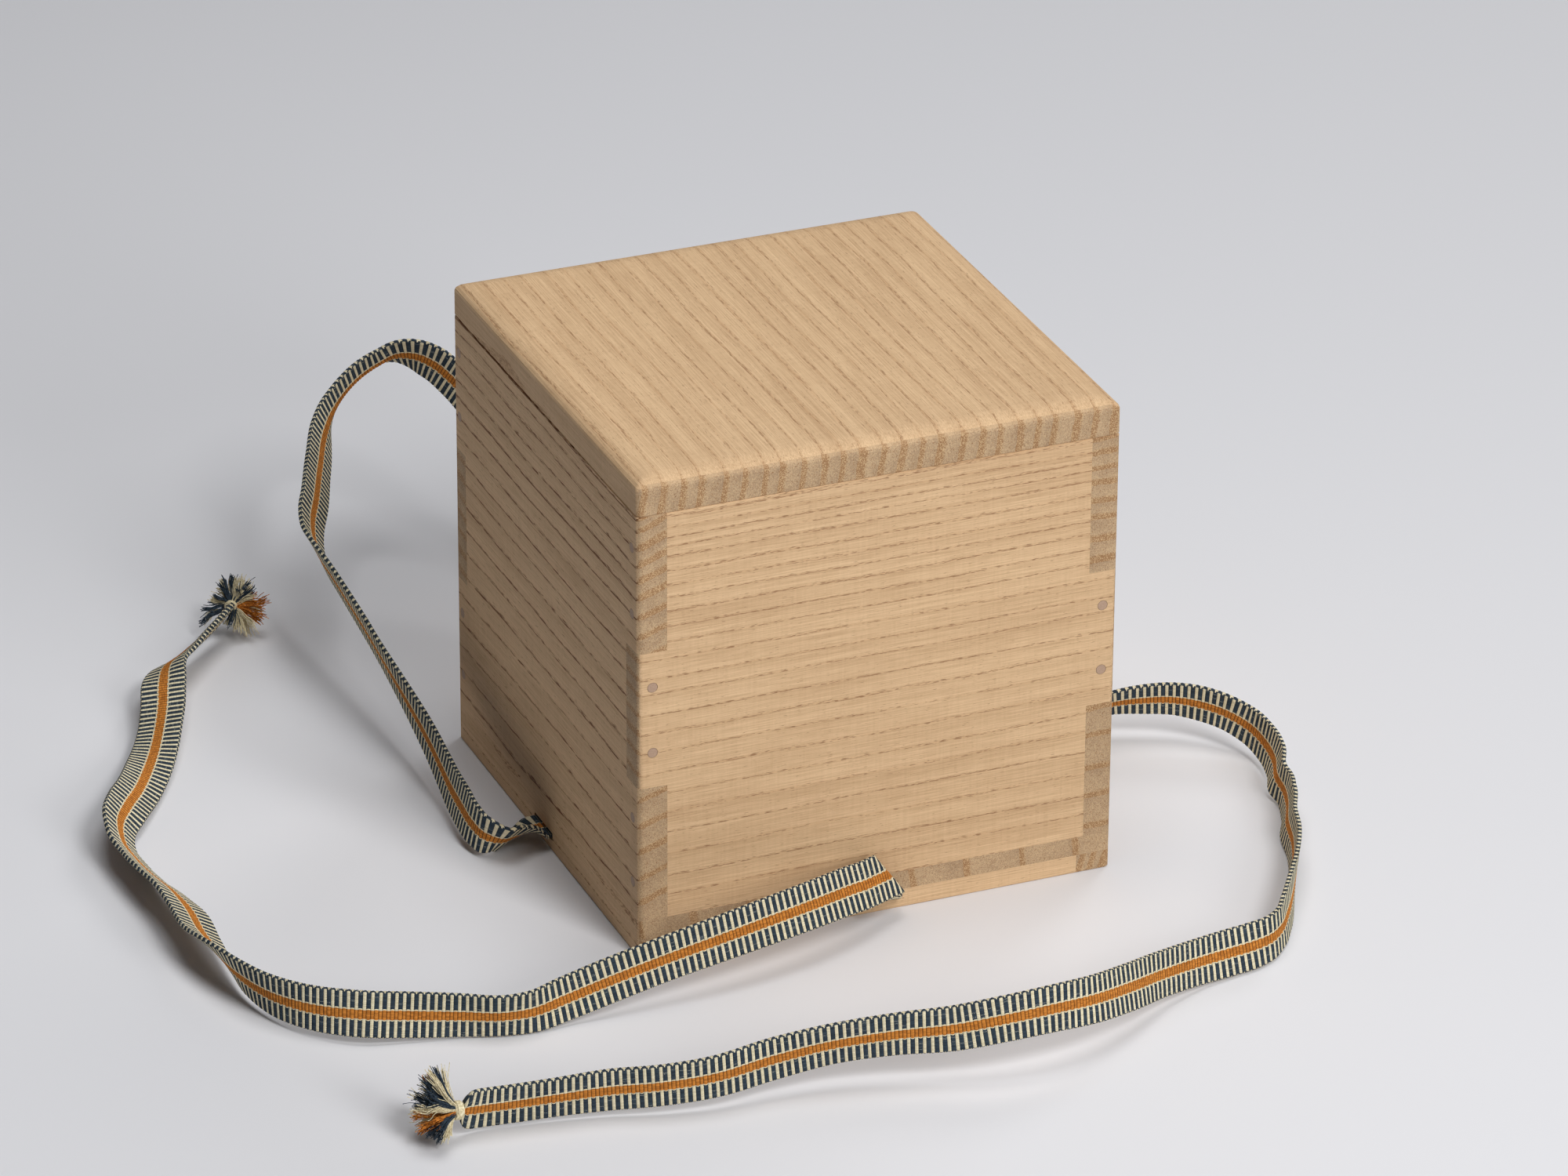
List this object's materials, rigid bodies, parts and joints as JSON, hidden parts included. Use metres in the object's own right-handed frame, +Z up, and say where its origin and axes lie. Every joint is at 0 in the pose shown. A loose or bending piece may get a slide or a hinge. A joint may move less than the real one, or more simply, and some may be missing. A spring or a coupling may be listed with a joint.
{
  "type": "tomobako storage box",
  "caption": "Square paulownia box with pegged finger joints and a lift-off lid, threaded both ways under its base with a striped flat woven tape that ends in tassels.",
  "frame": {"origin": "centre of the case's footprint, on the surface that its foot strips stand on", "axes": "+X to the right along the front board, +Y from the front board to the back board, +Z up through the lid"},
  "size_m": [0.3472, 0.3947, 0.153],
  "materials": {
    "wall_wood": "planed, unfinished",
    "lid_wood": "planed, unfinished",
    "base_wood": "planed, unfinished",
    "peg_wood": "planed flush",
    "woven_tape": "ribbed cotton weave in navy, cream and orange",
    "tie_thread": "twisted cotton",
    "tassel_yarn": "cut cotton yarn"
  },
  "bodies": {
    "case": {"back_board": "wall_wood", "base_board": "base_wood", "cord_front_stretch": "woven_tape", "cord_right_stretch": "woven_tape", "cord_standing_loop": "woven_tape", "cord_under_front_back": "woven_tape", "cord_under_left_right": "woven_tape", "foot_back": "base_wood", "foot_front": "base_wood", "foot_left": "base_wood", "foot_right": "base_wood", "front_board": "wall_wood", "left_board": "wall_wood", "peg_back_a3": "peg_wood", "peg_back_a4": "peg_wood", "peg_back_b3": "peg_wood", "peg_back_b4": "peg_wood", "peg_front_a3": "peg_wood", "peg_front_a4": "peg_wood", "peg_front_b3": "peg_wood", "peg_front_b4": "peg_wood", "peg_left_a1": "peg_wood", "peg_left_a2": "peg_wood", "peg_left_a5": "peg_wood", "peg_left_a6": "peg_wood", "peg_left_b1": "peg_wood", "peg_left_b2": "peg_wood", "peg_left_b5": "peg_wood", "peg_left_b6": "peg_wood", "peg_right_a1": "peg_wood", "peg_right_a2": "peg_wood", "peg_right_a5": "peg_wood", "peg_right_a6": "peg_wood", "peg_right_b1": "peg_wood", "peg_right_b2": "peg_wood", "peg_right_b5": "peg_wood", "peg_right_b6": "peg_wood", "right_board": "wall_wood", "tassel_front": "tassel_yarn", "tassel_right": "tassel_yarn", "tie_front": "tie_thread", "tie_right": "tie_thread"},
    "lid": {"lid_batten_back": "lid_wood", "lid_batten_front": "lid_wood", "lid_batten_left": "lid_wood", "lid_batten_right": "lid_wood", "lid_panel": "lid_wood"}
  },
  "joints": [
    {"name": "lid_lift", "type": "slide", "parent": "case", "child": "lid", "axis": [0, 0, 1], "range_m": [0, 0.16]}
  ]
}
